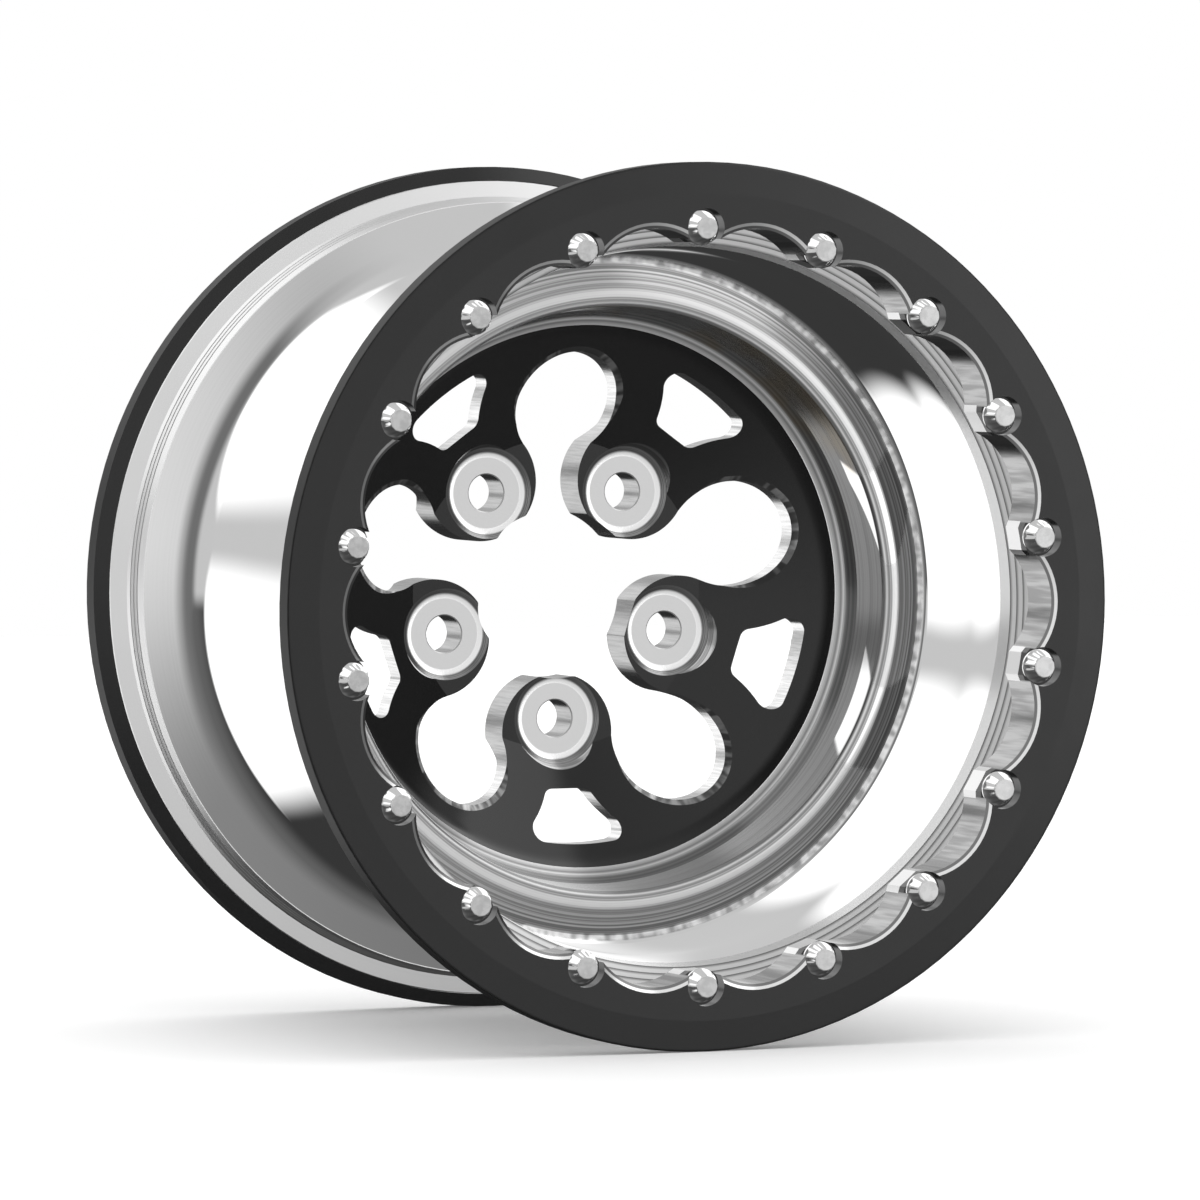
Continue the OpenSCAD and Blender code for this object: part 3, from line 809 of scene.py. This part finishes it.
def ring_bolts(name, inner):
    """Eighteen flanged bolts with twelve shallow flutes, head outwards, as one piece."""
    bm = bmesh.new()
    lobes, steps = 12, 96
    # Radius, height over the spot face and depth of the flutes
    rings = [(3.97, -18, 0), (3.97, 0, 0), (7.9, 0, 0), (8.0, 0.25, 0), (8.0, 1.1, 0),
             (7.85, 1.45, 0), (7.7, 1.7, 0.01), (7.5, 2.1, 0.035), (7.15, 3.0, 0.055),
             (6.6, 4.6, 0.06), (6.05, 6.2, 0.055), (5.6, 7.5, 0.045), (5.35, 8.15, 0.03),
             (5.2, 8.45, 0.02), (4.95, 8.6, 0.01), (4.7, 8.63, 0.0)]
    for k in range(BOLTS):
        a = math.radians(FIRST_BOLT + BOLT_TURN * k)
        out = Vector((math.cos(a), 0, math.sin(a)))
        side = Vector((-math.sin(a), 0, math.cos(a)))
        loops = []
        for r, h, flute in rings:
            u = SPOT_DEPTH - h
            place = -INNER_FACE - u if inner else u - OUTER_FACE
            centre = BOLT_AT * MM * out + Vector((0, place * MM, 0))
            loop = []
            for i in range(steps):
                t = 2 * math.pi * i / steps
                rr = r * (1 - flute * (0.5 - 0.5 * math.cos(lobes * t))) * MM
                loop.append(bm.verts.new(centre + rr * (math.cos(t) * out + math.sin(t) * side)))
            loops.append(loop)
        tube(bm, loops)
    bmesh.ops.recalc_face_normals(bm, faces=bm.faces)
    for f in bm.faces:
        f.smooth = len(f.verts) == 4
    mark_sharp(bm, 35)
    return made(name, bm)


def panel(n, az, el, at, size, lean, edge):
    """Soft elliptical light panel in the sky at an azimuth and height, in degrees."""
    c, k = math.cos(math.radians(lean)), math.sin(math.radians(lean))
    u, v = n.math("SUBTRACT", az, at[0]), n.math("SUBTRACT", el, at[1])
    along = n.math("MULTIPLY_ADD", u, c / size[0], n.math("MULTIPLY", v, k / size[0]))
    over = n.math("MULTIPLY_ADD", v, c / size[1], n.math("MULTIPLY", u, -k / size[1]))
    return n.ramp(n.length(along, over), 1 - edge, 1 + edge, 1.0, 0.0)


def studio(world):
    """White for the camera. What the metal reflects is a plain studio: pale above, dark
    below, two soft white panels behind on the left and a pale front."""
    world.use_nodes = True
    n = Nodes(world.node_tree)
    parts = n.add("ShaderNodeSeparateXYZ")
    n.join(n.add("ShaderNodeTexCoord").outputs["Generated"], parts.inputs[0])
    x, y, z = parts.outputs
    az = n.math("MULTIPLY", n.math("ARCTAN2", x, y), 180 / math.pi)
    el = n.math("MULTIPLY", n.math("ARCSINE", z), 180 / math.pi)
    # Dark flag across the left, seen from the front to the back
    flag = n.math("MULTIPLY", n.ramp(y, -0.62, -0.15), n.ramp(y, 0.0, 0.3, 1.0, 0.0))
    flag = n.math("MULTIPLY", flag, n.math("MULTIPLY", n.ramp(x, -0.25, 0.05, 1.0, 0.0),
                                           n.ramp(z, 0.8, 1.0, 1.0, 0.2)))
    sky = n.ramp(y, -0.7, -0.45, 0.82, 0.6)
    sky = n.ramp(flag, 0, 1, sky, 0.17, smooth=False)
    low = n.ramp(y, -0.5, 0.1, 0.25, 0.13, smooth=False)
    low = n.math("MULTIPLY", low, n.ramp(y, 0.1, 0.9, 1.0, 0.3))
    low = n.ramp(y, -0.9, -0.5, 0.65, low)
    # Front right, which the flat black faces and the bolts show
    strip = n.math("MULTIPLY", n.ramp(x, 0.33, 0.5), n.ramp(x, 0.72, 0.8, 1.0, 0.0))
    strip = n.math("MULTIPLY", strip, n.ramp(z, -0.2, -0.09))
    foot = n.ramp(y, -0.5, 0.15, -0.7, -0.1)
    tone = n.ramp(z, foot, n.math("ADD", n.math("MULTIPLY", foot, -0.3), -0.05), low, sky)
    tone = n.ramp(strip, 0, 1, tone, 1.4)
    tone = n.ramp(x, 0.8, 0.9, tone, 0.15)
    # Azimuth and height, half sizes, lean and softness of each panel, in degrees
    panels = (((-35, 37), (44, 24.5), -19, 0.1), ((-30, -14.5), (26, 17), -8, 0.14))
    for at, size, lean, edge in panels:
        tone = n.ramp(panel(n, az, el, at, size, lean, edge), 0, 1, tone, 1.25, smooth=False)
    kind = n.add("ShaderNodeLightPath")
    seen = n.math("MAXIMUM", kind.outputs["Is Camera Ray"], kind.outputs["Is Transmission Ray"])
    light = n.add("ShaderNodeBackground")
    high = n.math("MULTIPLY_ADD", n.math("MULTIPLY", z, n.math("MAXIMUM", z, 0.0)), 1.7, 0.2)
    n.join(n.mix(kind.outputs["Is Diffuse Ray"], tone, high), light.inputs["Color"])
    white = n.add("ShaderNodeBackground")
    white.inputs["Color"].default_value = (1, 1, 1, 1)
    out = n.add("ShaderNodeOutputWorld")
    n.join(n.shader_mix(seen, light, white).outputs[0], out.inputs["Surface"])


def floor(level):
    """Plain pale floor that shows white to the camera and keeps the shadow."""
    mesh = bpy.data.meshes.new("floor")
    half = 4.0
    mesh.from_pydata([(-half, -half, 0), (half, -half, 0), (half, half, 0), (-half, half, 0)],
                     [], [(0, 1, 2, 3)])
    obj = link(bpy.data.objects.new("floor", mesh))
    obj.location = (0, 0, level)
    material, n, _ = new_material("floor")
    kind = n.add("ShaderNodeLightPath")
    pale = n.add("ShaderNodeBsdfDiffuse")
    pale.inputs["Color"].default_value = (0.95, 0.95, 0.95, 1)
    glow = n.add("ShaderNodeEmission")
    n.join(n.math("MULTIPLY", kind.outputs["Is Camera Ray"], 0.15), glow.inputs["Strength"])
    both = n.add("ShaderNodeAddShader")
    n.join(pale.outputs[0], both.inputs[0])
    n.join(glow.outputs[0], both.inputs[1])
    clear = n.add("ShaderNodeBsdfTransparent")
    finish_material(material, n, n.shader_mix(kind.outputs["Is Glossy Ray"], both, clear))
    mesh.materials.append(material)


def camera():
    """Camera at the photograph's place, aimed at the target."""
    data = bpy.data.cameras.new("camera")
    data.lens = LENS
    data.sensor_width = 36
    data.clip_end = 50
    obj = link(bpy.data.objects.new("camera", data))
    a, e = math.radians(AZIMUTH), math.radians(ELEVATION)
    back = Vector((math.sin(a) * math.cos(e), -math.cos(a) * math.cos(e), math.sin(e)))
    obj.location = Vector(TARGET) + DISTANCE * back
    obj.rotation_euler = back.to_track_quat("Z", "Y").to_euler()
    bpy.context.scene.camera = obj


def paint(obj, material):
    """Give the object this material alone."""
    obj.data.materials.clear()
    obj.data.materials.append(material)


def main():
    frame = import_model()
    cad_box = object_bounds()
    nodes = frame["nodes"]

    for name, outline, node, metal in (
            ("outer_barrel", outer_barrel_outline(), "outer_rim_half",
             barrel_metal("polished_barrel")),
            ("inner_barrel", inner_barrel_outline(), "inner_rim_half",
             polished_metal("polished_inner_barrel", 0.92, 0.04, 0.01))):
        piece = lathe(name, outline)
        paint(piece, metal)
        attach(piece, "root")
        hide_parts(node)

    centre = wheel_centre()
    paint(centre, black_centre())
    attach(centre, "root")
    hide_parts("wheel_centre")
    clamp = ring_metal("black_ring", True)
    fixed = ring_metal("machined_ring", False)
    bolt = bolt_metal("bright_bolt")
    for side in ("outer", "inner"):
        paint(nodes[side + "_clamp_ring"], clamp)
        paint(nodes[side + "_fixed_ring"], fixed)
        bolts = ring_bolts(side + "_bolts", side == "inner")
        paint(bolts, bolt)
        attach(bolts, "root")
        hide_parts(side + "_ring_bolts")
    for obj in bpy.context.scene.objects:
        obj.visible_glossy = False

    scene = bpy.context.scene
    scene.view_settings.view_transform = "Standard"
    scene.world = bpy.data.worlds.new("studio")
    studio(scene.world)
    floor(cad_box[0][2])
    camera()


main()
